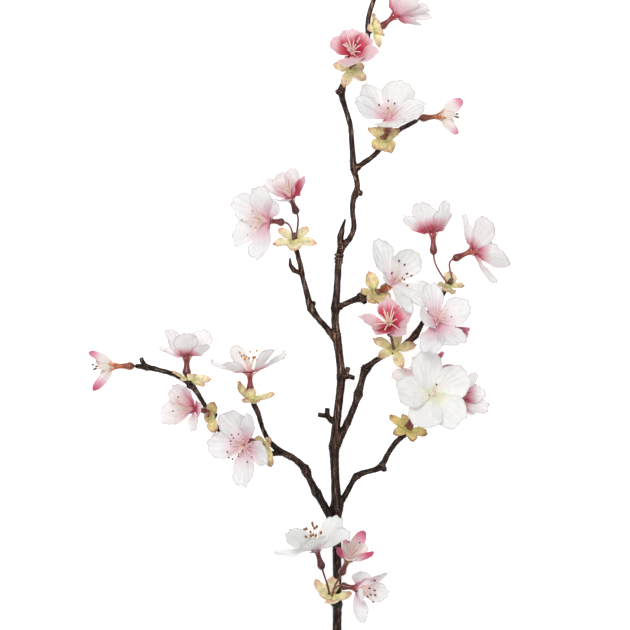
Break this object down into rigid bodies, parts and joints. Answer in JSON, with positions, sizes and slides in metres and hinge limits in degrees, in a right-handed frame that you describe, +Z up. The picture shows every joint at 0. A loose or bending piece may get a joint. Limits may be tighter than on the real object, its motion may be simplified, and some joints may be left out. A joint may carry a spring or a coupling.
{
  "type": "cherry blossom sprig",
  "caption": "Cut branching twig lying on its side, with five-petalled pink and white blossoms on thin red stalks and star-shaped collars of small bracts.",
  "frame": {"origin": "middle of the surface that the lying sprig covers, at the height of its lowest point", "axes": "+Y from the cut end of the twig to its tip, +Z up from the surface, to the side that the blossoms face"},
  "size_m": [0.2088, 0.3612, 0.0479],
  "materials": {
    "bark": "satin",
    "bract": "matte",
    "calyx": "satin",
    "petal_white": "matte",
    "petal_rose": "matte"
  },
  "bodies": {
    "root": {"bracts_foot": "bract", "bracts_left_high": "bract", "bracts_left_low": "bract", "bracts_left_mid": "bract", "bracts_left_tip": "bract", "bracts_left_top": "bract", "bracts_right_high": "bract", "bracts_right_inner": "bract", "bracts_right_low": "bract", "bracts_right_mid": "bract", "bracts_tip": "bract", "bracts_upper_right": "bract", "bracts_upper_stem": "bract", "petals_foot_rose": "petal_rose", "petals_foot_side": "petal_white", "petals_foot_white": "petal_white", "petals_left_end_bud": "petal_rose", "petals_left_high_cup": "petal_white", "petals_left_low_white": "petal_white", "petals_left_mid_blush": "petal_white", "petals_left_tip_rose": "petal_rose", "petals_left_tip_white": "petal_white", "petals_left_top_white": "petal_white", "petals_right_fork_bud": "petal_rose", "petals_right_fork_white": "petal_white", "petals_right_high_cup": "petal_white", "petals_right_high_side": "petal_white", "petals_right_inner_white": "petal_white", "petals_right_low_cup": "petal_white", "petals_right_low_rose": "petal_rose", "petals_right_low_white": "petal_white", "petals_right_mid_rose": "petal_rose", "petals_tip_side": "petal_white", "petals_upper_bud": "petal_rose", "petals_upper_rose": "petal_rose", "petals_upper_white": "petal_white", "stalk_foot_rose": "calyx", "stalk_foot_side": "calyx", "stalk_foot_white": "calyx", "stalk_left_end_bud": "calyx", "stalk_left_high_cup": "calyx", "stalk_left_low_white": "calyx", "stalk_left_mid_blush": "calyx", "stalk_left_tip_rose": "calyx", "stalk_left_tip_white": "calyx", "stalk_left_top_white": "calyx", "stalk_right_fork_bud": "calyx", "stalk_right_fork_white": "calyx", "stalk_right_high_cup": "calyx", "stalk_right_high_side": "calyx", "stalk_right_inner_white": "calyx", "stalk_right_low_cup": "calyx", "stalk_right_low_rose": "calyx", "stalk_right_low_white": "calyx", "stalk_right_mid_rose": "calyx", "stalk_tip_side": "calyx", "stalk_upper_bud": "calyx", "stalk_upper_rose": "calyx", "stalk_upper_white": "calyx", "twig": "bark"}
  },
  "joints": []
}
